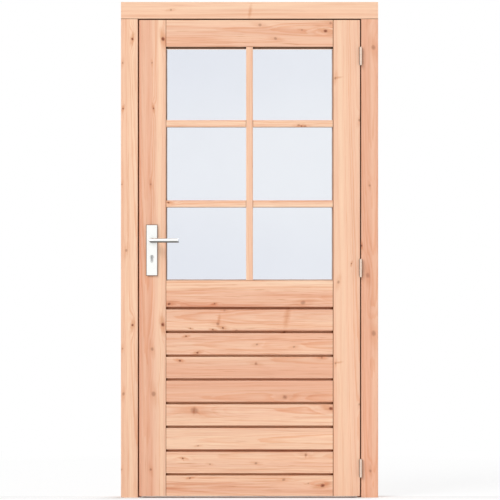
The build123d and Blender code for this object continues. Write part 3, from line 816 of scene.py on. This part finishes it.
# How far the lock's edge of the leaf slants back over its thickness, in millimetres.
LOCK_EDGE_BEVEL = 1.5

# How far from the mitre a lever's rods are round again, and how far the mitre's edge is rounded.
ROD_FROM_MITRE = 6 * MM
MITRE_ROUNDING = 0.9 * MM

# Cross-sections in millimetres: the spacer strip's as depth from the glass and height from the panes' head,
# the dark groove sealant's, which stands for the groove's shadow, as depth from the top rail's face and height
# in the groove.
SPACER_SECTION = (
    (0.15, 0.1), (-1.1, 0.1), (-1.5, -0.3), (-1.6, -0.9), (-1.6, -3.0), (-1.5, -3.6), (-1.1, -4.0), (0.15, -4.0)
)
GROOVE_BACK = 9.1
GROOVE_SECTION = (
    (GROOVE_BACK, -0.1), (5.6, -0.1), (6.6, 2.0), (7.0, 4.3), (6.4, 6.8), (4.8, 8.6), (GROOVE_BACK, 8.6)
)
GROOVE_STEPS = 24

# A run of sealant is made of short steps. It laps into its neighbours, its face is hollowed by a share of its
# width, and along the foot and the head of a pane it is smaller than at the sides.
SEALANT_STEP = 18 * MM
SEALANT_LAP = 0.2 * MM
HOLLOWING = 0.82
FOOT_SEALANT, HEAD_SEALANT = 0.85, 0.35


def add_piece(name, mesh_data, material, body, replaces=()):
    """Links a finished mesh as a piece that rides on a body."""
    bmesh.ops.recalc_face_normals(mesh_data, faces=mesh_data.faces)
    mesh = bpy.data.meshes.new(name)
    mesh_data.to_mesh(mesh)
    mesh_data.free()
    mesh.polygons.foreach_set("use_smooth", [True] * len(mesh.polygons))
    mesh.set_sharp_from_angle(angle=CRISP_EDGE)
    mesh.materials.append(material)
    piece = bpy.data.objects.new(name, mesh)
    bpy.context.scene.collection.objects.link(piece)
    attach(piece, body)
    if replaces:
        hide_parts(*replaces)


def skin(mesh_data, sections, closed=False):
    """Joins a row of cross-sections, each a list of points, with faces, and returns their rings of vertices.
    Closed means that the last one joins the first."""
    rings = [[mesh_data.verts.new(point) for point in section] for section in sections]
    for first, second in zip(rings, rings[1:] + rings[:1] if closed else rings[1:]):
        for i in range(len(first)):
            mesh_data.faces.new((first[i - 1], first[i], second[i], second[i - 1]))
    return rings


def bar(mesh_data, sections):
    """A skin that ends in a face on either side."""
    rings = skin(mesh_data, sections)
    mesh_data.faces.new(rings[0])
    mesh_data.faces.new(rings[-1])


def circle(centre, radius, across, up, count=ROD_SIDES):
    """Points of a circle in the plane of two directions."""
    turns = [2 * math.pi * i / count for i in range(count)]
    return [centre + across * (radius * math.cos(t)) + up * (radius * math.sin(t)) for t in turns]


def screw_head(mesh_data, centre, normal, diameter, turn):
    """A raised countersunk head with a cross recess, its rim on a surface."""
    out, radius = normal.normalized(), diameter / 2
    across = Matrix.Rotation(turn, 3, out) @ out.orthogonal().normalized()
    up = out.cross(across)
    rim = skin(mesh_data, [
        circle(centre + out * (radius * rise), radius * share, across, up, SCREW_SIDES)
        for share, rise in SCREW_PROFILE
    ])[-1]
    half, reach = CROSS_HALF_WIDTH * radius, CROSS_REACH * radius
    cross = [
        (reach, -half), (reach, half), (half, half), (half, reach), (-half, reach), (-half, half),
        (-reach, half), (-reach, -half), (-half, -half), (-half, -reach), (half, -reach), (half, -half),
    ]
    mouth, sole = skin(mesh_data, [
        [centre + out * (radius * rise) + across * (taper * a) + up * (taper * b) for a, b in cross]
        for rise, taper in ((SCREW_PROFILE[-1][1], 1.0), (CROSS_FLOOR, CROSS_TAPER))
    ])
    mesh_data.faces.new(sole)
    edges = [mesh_data.edges.get((ring[i - 1], ring[i])) for ring in (rim, mouth) for i in range(len(ring))]
    bmesh.ops.triangle_fill(mesh_data, edges=edges, use_beauty=True, normal=out)


def add_screws(name, places, diameter, body):
    """One piece with a screw head at each place, which is a point in millimetres and a normal."""
    mesh_data = bmesh.new()
    for number, (point, normal) in enumerate(places):
        screw_head(mesh_data, Vector(point) * MM, Vector(normal), diameter, 0.4 + 1.1 * number)
    steel = metal("screw_steel", bpy.context.scene.door_finish.steel_colour[:], 0.34, "z")
    add_piece(name, mesh_data, steel, body)


class DOOR_OT_frame_timber(bpy.types.Operator):
    """Finish the jambs, the head and the stops in planed softwood"""

    bl_idname = "door.frame_timber"
    bl_label = "Frame timber"

    def execute(self, context):
        finish_timber(FRAME_TIMBER, context)
        return {"FINISHED"}


class DOOR_OT_leaf_timber(bpy.types.Operator):
    """Finish the stiles, rails, glazing bars and beads in planed softwood"""

    bl_idname = "door.leaf_timber"
    bl_label = "Leaf timber"

    def execute(self, context):
        finish_timber(LEAF_TIMBER, context)
        return {"FINISHED"}


class DOOR_OT_boards(bpy.types.Operator):
    """Finish the seven shadow-gap boards in planed softwood"""

    bl_idname = "door.boards"
    bl_label = "Panel boards"

    def execute(self, context):
        finish_timber(BOARDS, context)
        return {"FINISHED"}


class DOOR_OT_panes(bpy.types.Operator):
    """Finish the six panes in clear glass"""

    bl_idname = "door.panes"
    bl_label = "Panes"

    def execute(self, context):
        look = context.scene.door_finish
        glass = pane_glass("float_glass", look.glass_tint[:], look.painted_bright_glass_tint[:])
        for row in ("upper", "middle", "lower"):
            for side in ("lock_side", "hinge_side"):
                finish_node(f"{row}_{side}_pane", glass)
        return {"FINISHED"}


class DOOR_OT_sealant(bpy.types.Operator):
    """Run sealant round the panes and along the shadow groove, where it is dark to stand for the shadow, over a
    metal strip at their head
    """

    bl_idname = "door.sealant"
    bl_label = "Glazing sealant and strip"

    def execute(self, context):
        look, trim = context.scene.door_finish, context.scene.door_trim
        glass_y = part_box("upper_lock_side_pane")[0].y
        left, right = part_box("lock_stile")[1].x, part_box("hinge_stile")[0].x
        bar_left, bar_right = [corner.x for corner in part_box("vertical_glazing_bar")]
        columns = ((left, bar_left), (bar_right, right))
        levels = [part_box("middle_rail")[1].z]
        for node in ("lower_glazing_bars", "upper_glazing_bars"):
            levels += [corner.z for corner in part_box(node)]
        levels.append(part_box("top_rail")[0].z)
        foot, head = levels[0], levels[-1]

        def at(x, z):
            return Vector((x, glass_y, z))

        sealant, groove, strip = bmesh.new(), bmesh.new(), bmesh.new()
        for low, high in zip(levels[::2], levels[1::2]):
            self.run(sealant, trim, at(left, low), at(left, high), X_AXIS)
            self.run(sealant, trim, at(right, low), at(right, high), -X_AXIS)
        for start, end in columns:
            self.run(sealant, trim, at(start, foot), at(end, foot), Z_AXIS, FOOT_SEALANT)
            for level in levels[1:-1:2]:
                self.run(sealant, trim, at(start, level), at(end, level), -Z_AXIS, HEAD_SEALANT)
            self.groove_fill(groove, start, end, head)
            bar(strip, [
                [at(x, head) + MM * Vector((0, depth, rise)) for depth, rise in SPACER_SECTION]
                for x in (start, end)
            ])

        ends = [x / MM for column in columns for x in column]
        brown = sealant_material("glazing_sealant", look.sealant_colour[:])
        # The groove's sealant is dark to stand for the shadow in the groove, with more shade painted near its
        # ends.
        dark = sealant_material("dark_sealant", look.groove_shadow_sealant_colour[:], ends)
        pale = metal("spacer_metal", look.spacer_colour[:], 0.16, "x", nooks=1.0)
        add_piece("glazing_sealant", sealant, brown, "door_leaf")
        add_piece("top_groove_sealant", groove, dark, "door_leaf")
        add_piece("top_spacer_strip", strip, pale, "door_leaf")
        return {"FINISHED"}

    @staticmethod
    def groove_fill(mesh_data, start, end, foot):
        """A hollow-faced strip of sealant at the back of the shadow groove over the panes, dark to stand for
        the groove's shadow.
        """
        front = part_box("top_rail")[0].y
        sections = []
        for step in range(GROOVE_STEPS + 1):
            x = start + (end - start) * step / GROOVE_STEPS
            swell = 1 + 0.04 * math.sin(step * 1.9 + start * 7)
            sections.append([
                Vector((x, front + (GROOVE_BACK - (GROOVE_BACK - depth) * swell) * MM, foot + rise * MM))
                for depth, rise in GROOVE_SECTION
            ])
        bar(mesh_data, sections)

    @staticmethod
    def run(mesh_data, trim, start, end, inwards, share=1.0):
        """One length of sealant with a hollow face, its width drifting a little as a hand-tooled one does."""
        steps = max(2, round((end - start).length / SEALANT_STEP))
        sections = []
        for step in range(steps + 1):
            middle = start.lerp(end, step / steps)
            phase = 2 * math.pi * (step * 0.137 + start.x * 3.1 + start.z * 1.7)
            swell = 1 + 0.05 * math.sin(phase) + 0.03 * math.sin(2.7 * phase)
            width, rise = trim.sealant_width * swell * share, trim.sealant_rise * (2 - swell) * share
            section = [(-SEALANT_LAP, -SEALANT_LAP), (width, -SEALANT_LAP)]
            for turn in QUARTER_TURN:
                across, out = 1 - HOLLOWING * math.sin(turn), 1 - HOLLOWING * math.cos(turn)
                section.append((width * across * 0.98 + SEALANT_LAP, rise * out))
            section += [(SEALANT_LAP, rise), (-SEALANT_LAP, rise)]
            sections.append([middle + inwards * a - Y_AXIS * b for a, b in section])
        bar(mesh_data, sections)


class DOOR_OT_hinges(bpy.types.Operator):
    """Finish the hinges in satin nickel and put three screws in every plate"""

    bl_idname = "door.hinges"
    bl_label = "Hinges"

    def execute(self, context):
        look, trim = context.scene.door_finish, context.scene.door_trim
        nickel = metal("hinge_nickel", look.nickel_colour[:], 0.30, "z", painted_knuckle_shade)
        leaf_screws, frame_screws = [], []
        leaf_face, frame_face = millimetres("hinge_stile")[1].x, millimetres("hinge_jamb")[0].x
        for place in ("lower", "middle", "upper"):
            for side in ("frame", "leaf"):
                finish_node(f"{place}_hinge_{side}_plate", nickel)
            low, high = millimetres(f"{place}_hinge_leaf_plate")
            middle = (low.z + high.z) / 2
            for inset, rise in HINGE_SCREWS:
                leaf_screws.append(((leaf_face, high.y - inset, middle + rise), X_AXIS))
                frame_screws.append(((frame_face, high.y - inset, middle + rise), -X_AXIS))
        finish_node("hinge_pins", nickel)
        add_screws("hinge_leaf_screws", leaf_screws, trim.hinge_screw, "door_leaf")
        add_screws("hinge_frame_screws", frame_screws, trim.hinge_screw, "frame")
        return {"FINISHED"}


class DOOR_OT_lock(bpy.types.Operator):
    """Finish the lock and the strike plate in steel and put in their screws"""

    bl_idname = "door.lock"
    bl_label = "Lock and strike plate"

    def execute(self, context):
        look, trim = context.scene.door_finish, context.scene.door_trim
        steel = metal("lock_steel", look.steel_colour[:], 0.32, "z")
        for node in ("lock_forend", "lock_case", "lock_bolts", "strike_plate"):
            finish_node(node, steel)
        low, high = millimetres("strike_plate")
        strike = [((high.x, (low.y + high.y) / 2, z), X_AXIS) for z in (low.z + END_INSET, high.z - END_INSET)]
        low, high = millimetres("lock_forend")
        leaf_low, leaf_high = millimetres("lock_stile")
        thickness, depth = leaf_high.y - leaf_low.y, (low.y + high.y) / 2
        face_x = leaf_low.x + LOCK_EDGE_BEVEL * (depth - leaf_low.y) / thickness
        outwards = Vector((-thickness, LOCK_EDGE_BEVEL, 0))
        forend = [((face_x, depth, z), outwards) for z in (low.z + END_INSET, high.z - END_INSET)]
        add_screws("forend_screws", forend, trim.lock_screw, "door_leaf")
        add_screws("strike_screws", strike, trim.lock_screw, "frame")
        return {"FINISHED"}


class DOOR_OT_furniture(bpy.types.Operator):
    """Finish the backplates and the cylinder, and turn a smooth lever for each side"""

    bl_idname = "door.furniture"
    bl_label = "Backplates, cylinder and levers"

    def execute(self, context):
        look, trim = context.scene.door_finish, context.scene.door_trim
        plate = metal("satin_backplate", look.satin_colour[:], look.satin_roughness, "z", painted_rim_reflection)
        rod = metal("satin_lever", look.satin_colour[:], look.satin_roughness, "x", painted_rod_reflection)
        cylinder = metal("satin_cylinder", look.cylinder_colour[:], 0.32, "z", painted_cylinder_reflection)
        for side, out in (("outside", -1), ("inside", 1)):
            finish_node(f"{side}_backplate", plate)
            self.lever(side, out, rod, trim)
            self.collar(side, out, plate, trim)
        finish_node("lock_cylinder", cylinder)
        finish_node("lever_spindle", metal("lock_steel", look.steel_colour[:], 0.32, "z"))
        return {"FINISHED"}

    @staticmethod
    def neck(side):
        """The middle of a lever's neck and its radius."""
        low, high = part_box(f"{side}_lever")
        radius = (high.z - low.z) / 2
        return Vector((low.x + radius, 0, (low.z + high.z) / 2)), radius

    def lever(self, side, out, material, trim):
        """A round rod that leaves the door, turns in a mitre and ends in an eased face."""
        low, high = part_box(f"{side}_lever")
        start_y, far_y = (high.y, low.y) if out < 0 else (low.y, high.y)
        neck, radius = self.neck(side)
        rod_y = far_y - out * radius
        corner = Vector((neck.x, rod_y, neck.z))

        def upright(y):
            return circle(Vector((neck.x, y, neck.z)), radius, X_AXIS, Z_AXIS)

        def mitre(size, shift_x, shift_y):
            """The oval where the two rods meet."""
            shift = corner + Vector((shift_x, shift_y, 0))
            points = circle(Vector(), size, X_AXIS, Z_AXIS)
            return [shift + Vector((point.x, -out * point.x, point.z)) for point in points]

        def level(x, size):
            return circle(Vector((x, rod_y, neck.z)), size, -out * Y_AXIS, Z_AXIS)

        sections = [
            upright(start_y), upright(rod_y - out * (radius + ROD_FROM_MITRE)),
            mitre(radius, 0, -out * MITRE_ROUNDING), mitre(radius - 0.35 * MITRE_ROUNDING, 0, 0),
            mitre(radius, MITRE_ROUNDING, 0), level(neck.x + radius + ROD_FROM_MITRE, radius),
        ]
        for turn in QUARTER_TURN:
            inwards, shrinking = trim.lever_ease * (1 - math.sin(turn)), trim.lever_ease * (1 - math.cos(turn))
            sections.append(level(high.x - inwards, radius - shrinking))
        mesh_data = bmesh.new()
        bar(mesh_data, sections)
        add_piece(f"{side}_lever_rod", mesh_data, material, "handle", (f"{side}_lever",))

    def collar(self, side, out, material, trim):
        """The bearing collar on a backplate, round a lever's neck."""
        neck, radius = self.neck(side)
        low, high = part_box(f"{side}_backplate")
        face_y = low.y if out < 0 else high.y
        inner, outer = radius + 0.15 * MM, radius + trim.collar_width
        profile = (
            (inner, -0.5), (inner, 1.9), (inner + 0.4 * MM, 2.3), (outer - 0.7 * MM, 2.3),
            (outer - 0.2 * MM, 1.9), (outer, 1.2), (outer, -0.5),
        )
        mesh_data = bmesh.new()
        skin(mesh_data, [
            circle(Vector((neck.x, face_y + out * rise * MM, neck.z)), size, X_AXIS, Z_AXIS)
            for size, rise in profile
        ], closed=True)
        add_piece(f"{side}_lever_collar", mesh_data, material, "door_leaf")


# The point of the door's face in the middle of the picture, as x and z.
VIEW_MIDDLE = (-0.5455, 1.0537)

# The lamps: name, the setting for the strength, width in degrees and where each one is, as a direction.
LAMPS = (
    ("key_light", "key_strength", 30, (-0.60, -0.64, 0.74)),
    ("fill_light", "fill_strength", 60, (0.66, -0.70, 0.38)),
    ("back_light", "key_strength", 50, (0.45, 0.70, 0.75)),
)

# Distances on the floor between which its tones change: where the leaf's foot ends, aside from the door's
# middle, how far the shadow in front and behind keeps its depth, and how far out it goes.
LEAF_FOOT = (0.445, 0.462)
NEAR_SHADOW = (0.036, 0.11)
FAR_SHADOW = (0.9, 3.2)


class StageSettings(bpy.types.PropertyGroup):
    """Floor, light and camera."""

    floor_colour: FloatVectorProperty(
        name="Floor", description="Colour of the floor", default=(0.80, 0.80, 0.80, 1.0), **COLOUR
    )
    # The colour of the contact shadow painted on the floor close under the leaf.
    painted_contact_shadow_colour: FloatVectorProperty(
        name="Contact shade", description="Colour of the floor close under the leaf",
        default=(0.135, 0.070, 0.038, 1.0), **COLOUR,
    )
    ambient: FloatProperty(
        name="Ambient light", description="Strength of the even light from all round", default=0.30, min=0.0
    )
    key_strength: FloatProperty(
        name="Key light", description="Strength of the soft light from the upper left", default=1.98, min=0.0
    )
    fill_strength: FloatProperty(
        name="Fill light", description="Strength of the soft light from the right", default=0.42, min=0.0
    )
    camera_distance: FloatProperty(
        name="Camera distance", description="Distance from the camera to the door's face", default=14.0,
        **LENGTH,
    )
    view_width: FloatProperty(
        name="View width", description="Width that the camera takes in at the door's face",
        default=2.12875, **LENGTH,
    )


class DOOR_OT_stage(bpy.types.Operator):
    """Set up the floor, the light and the camera"""

    bl_idname = "door.stage"
    bl_label = "Floor, light and camera"

    def execute(self, context):
        stage = context.scene.door_stage
        self.floor(stage)
        self.world(stage, context.scene)
        for name, strength, softness, direction in LAMPS:
            self.lamp(name, getattr(stage, strength), softness, Vector(direction))
        camera = bpy.data.cameras.new("camera")
        camera.sensor_width = 36.0
        camera.lens = camera.sensor_width * stage.camera_distance / stage.view_width
        camera.clip_end = 200.0
        eye = bpy.data.objects.new("camera", camera)
        eye.location = (VIEW_MIDDLE[0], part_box("lock_jamb")[0].y - stage.camera_distance, VIEW_MIDDLE[1])
        eye.rotation_euler = (math.pi / 2, 0, 0)
        context.scene.collection.objects.link(eye)
        context.scene.camera = eye
        context.scene.view_settings.view_transform = "Standard"
        return {"FINISHED"}

    @staticmethod
    def floor(stage):
        """A plain floor that keeps the door's shadow and runs into the white of the background, with a dark
        contact shadow painted close under the leaf.
        """
        mesh_data = bmesh.new()
        bmesh.ops.create_circle(mesh_data, cap_ends=True, segments=96, radius=60.0)
        mesh = bpy.data.meshes.new("floor")
        mesh_data.to_mesh(mesh)
        mesh_data.free()
        middle = (CAD_BOX[0] + CAD_BOX[1]) / 2
        graph = new_graph("floor")
        place = graph.node("ShaderNodeTexCoord", output="Object")
        x, y, _ = graph.parts(place)
        under_leaf = (x - middle.x).size().rise(*LEAF_FOOT, 1.0, 0.0)
        # Painted contact shadow: dark brown close under the leaf, where ambient occlusion finds the floor
        # closed in, for rays that show the floor.
        painted_contact_shadow = graph.open_sky(0.035, 8).rise(0.45, 0.95, 1.0, 0.0) * under_leaf * graph.seen()
        tone = graph.mixed(painted_contact_shadow, stage.floor_colour[:], stage.painted_contact_shadow_colour[:])
        matt = graph.principled(Base_Color=tone, Roughness=1.0, Specular_IOR_Level=0.0)
        white = graph.node("ShaderNodeEmission", None, {"Color": WHITE, "Strength": 1.0})
        beside = (y - middle.y).size().rise(*NEAR_SHADOW, 0.0, 0.84)
        away = graph.distance(place, (middle.x, 0.0, 0.0)).rise(*FAR_SHADOW)
        factor = graph.seen() * beside.higher(away)
        graph.finished(graph.node("ShaderNodeMixShader", None, {0: factor, 1: matt, 2: white}))
        mesh.materials.append(graph.owner)
        floor = bpy.data.objects.new("floor", mesh)
        bpy.context.scene.collection.objects.link(floor)

    @staticmethod
    def world(stage, scene):
        """Even light, with a white background where it is seen."""
        scene.world = bpy.data.worlds.new("studio")
        graph = Graph(scene.world)
        light = graph.node("ShaderNodeBackground", None, {"Color": WHITE, "Strength": stage.ambient})
        background = graph.node("ShaderNodeBackground", None, {"Color": WHITE, "Strength": 1.0})
        mixed = graph.node("ShaderNodeMixShader", None, {0: graph.seen(), 1: light, 2: background})
        graph.finished(mixed, "ShaderNodeOutputWorld")

    @staticmethod
    def lamp(name, strength, softness, towards):
        """A distant soft light from one direction, as wide as so many degrees."""
        lamp = bpy.data.lights.new(name, "SUN")
        lamp.energy = strength
        lamp.angle = math.radians(softness)
        holder = bpy.data.objects.new(name, lamp)
        holder.rotation_euler = (-towards).to_track_quat("-Z", "Y").to_euler()
        bpy.context.scene.collection.objects.link(holder)


OPERATORS = (
    DOOR_OT_stage, DOOR_OT_frame_timber, DOOR_OT_leaf_timber, DOOR_OT_boards, DOOR_OT_panes,
    DOOR_OT_sealant, DOOR_OT_hinges, DOOR_OT_lock, DOOR_OT_furniture,
)
SETTINGS = {
    "door_timber": TimberSettings, "door_finish": FinishSettings, "door_trim": TrimSettings,
    "door_stage": StageSettings,
}


class DOOR_PT_sidebar(bpy.types.Panel):
    """Lists the door's settings and pieces in the 3D view's sidebar"""

    bl_idname = "DOOR_PT_sidebar"
    bl_label = "Wooden door"
    bl_space_type = "VIEW_3D"
    bl_region_type = "UI"
    bl_category = "Door"

    def draw(self, context):
        layout = self.layout
        for name, group in SETTINGS.items():
            box = layout.box()
            box.label(text=group.__doc__)
            for prop in group.__annotations__:
                box.prop(getattr(context.scene, name), prop)
        for operator in OPERATORS:
            layout.operator(operator.bl_idname)


CLASSES = (*SETTINGS.values(), *OPERATORS, DOOR_PT_sidebar)


def register():
    for cls in CLASSES:
        bpy.utils.register_class(cls)
    for name, group in SETTINGS.items():
        setattr(bpy.types.Scene, name, PointerProperty(type=group))


def unregister():
    for name in SETTINGS:
        delattr(bpy.types.Scene, name)
    for cls in reversed(CLASSES):
        bpy.utils.unregister_class(cls)


def main():
    register()
    for operator in OPERATORS:
        family, name = operator.bl_idname.split(".")
        getattr(getattr(bpy.ops, family), name)()


if __name__ == "__main__":
    main()
